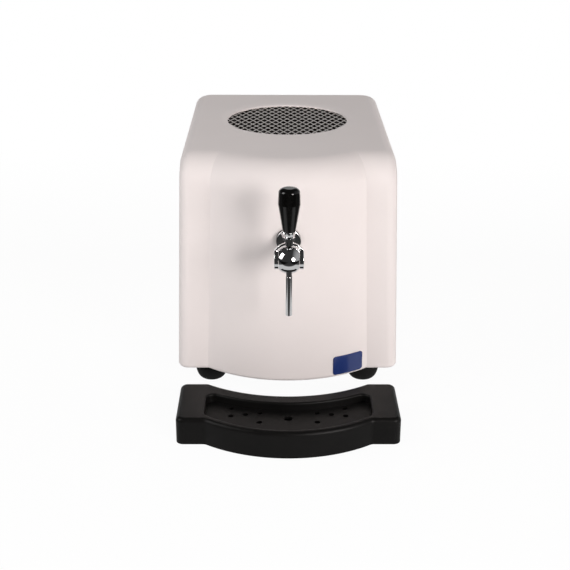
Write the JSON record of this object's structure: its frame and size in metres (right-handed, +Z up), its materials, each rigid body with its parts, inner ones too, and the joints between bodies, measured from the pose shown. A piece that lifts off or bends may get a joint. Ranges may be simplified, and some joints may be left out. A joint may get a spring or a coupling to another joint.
{
  "type": "countertop water dispenser",
  "caption": "Countertop drink dispenser: bowed moulded casing with a round mesh vent on top, a lever tap with a straight spout, and a separate drip tray in front.",
  "frame": {"origin": "on the counter, under the middle of the whole part's box", "axes": "+Z up, -Y to the front where the tap and tray are, +X to the right as seen from the front"},
  "size_m": [0.3196, 0.63, 0.349],
  "materials": {
    "casing_plastic": "warm white moulded plastic, satin",
    "mesh_steel": "galvanised expanded mesh",
    "chrome": "polished chrome plate",
    "handle_black": "gloss black",
    "tray_black": "matte black with a fine grain",
    "rubber": "black rubber",
    "sheet_steel": "zinc-coated sheet, satin",
    "screw_zinc": "zinc-plated",
    "fan_plastic": "black moulded plastic",
    "motor_paint": "black enamel",
    "brass": "turned brass",
    "control_black": "black moulded plastic",
    "rocker_black": "gloss black",
    "foam": "cream rigid foam",
    "liner": "white liner",
    "stainless": "drawn stainless tube",
    "copper": "drawn copper tube",
    "fins": "plain aluminium fins",
    "hose": "food hose"
  },
  "bodies": {
    "cabinet": {"outer_shell": "casing_plastic", "vent_grille": "mesh_steel", "shank": "chrome", "tap_body": "chrome", "pivot_cap_left": "chrome", "pivot_cap_right": "chrome", "spout_tube": "chrome", "foot_front_left": "rubber", "foot_front_right": "rubber", "foot_rear_left": "rubber", "foot_rear_right": "rubber", "tap_gasket": "rubber", "inner_gasket": "rubber", "compressor_mounts": "rubber", "base_plate": "sheet_steel", "rear_panel": "sheet_steel", "fan_bracket": "sheet_steel", "base_screws": "screw_zinc", "foot_screws": "screw_zinc", "panel_screws": "screw_zinc", "shroud_screws": "screw_zinc", "fan_shroud": "fan_plastic", "fan_motor": "motor_paint", "compressor": "motor_paint", "shank_nut": "brass", "inlet_fitting": "brass", "thermostat_body": "control_black", "switch_frame": "control_black", "mains_inlet": "control_black", "foam_jacket": "foam", "tank_lid": "foam", "tank_liner": "liner", "drink_coil": "stainless", "evaporator_coil": "copper", "suction_line": "copper", "discharge_line": "copper", "liquid_line": "copper", "filter_drier": "copper", "condenser": "fins", "inlet_hose": "hose", "tap_hose": "hose"},
    "lever": {"lever_ring": "chrome", "lever_pin": "chrome", "lever_stem": "chrome", "lock_nut": "chrome", "ferrule": "chrome", "handle": "handle_black"},
    "valve": {"plunger": "brass", "plunger_seal": "rubber"},
    "fan": {"fan_blades": "fan_plastic"},
    "knob": {"thermostat_knob": "control_black"},
    "rocker": {"switch_rocker": "rocker_black"},
    "tray": {"drip_tray": "tray_black"}
  },
  "joints": [
    {"name": "lever_pivot", "type": "hinge", "parent": "cabinet", "child": "lever", "pos_m": [0, -0.22424, 0.245], "axis": [1, 0, 0], "range_deg": [0, 20]},
    {"name": "valve_slide", "type": "slide", "parent": "cabinet", "child": "valve", "axis": [0, 1, 0], "range_m": [0, 0.0016]},
    {"name": "fan_spin", "type": "hinge", "parent": "cabinet", "child": "fan", "pos_m": [0, 0.1125, 0.319], "axis": [0, 0, 1], "continuous": true},
    {"name": "knob_turn", "type": "hinge", "parent": "cabinet", "child": "knob", "pos_m": [0.08, 0.295, 0.252], "axis": [0, 1, 0], "range_deg": [0, 270]},
    {"name": "rocker_tilt", "type": "hinge", "parent": "cabinet", "child": "rocker", "pos_m": [0.08, 0.283, 0.196], "axis": [1, 0, 0], "range_deg": [-18, 0]},
    {"name": "tray_slide", "type": "slide", "parent": "cabinet", "child": "tray", "axis": [0, 1, 0], "range_m": [-0.1, 0.04]}
  ],
  "couplings": [
    {"joint": "valve_slide", "follows": "lever_pivot", "m_per_rad": 0.00435}
  ]
}
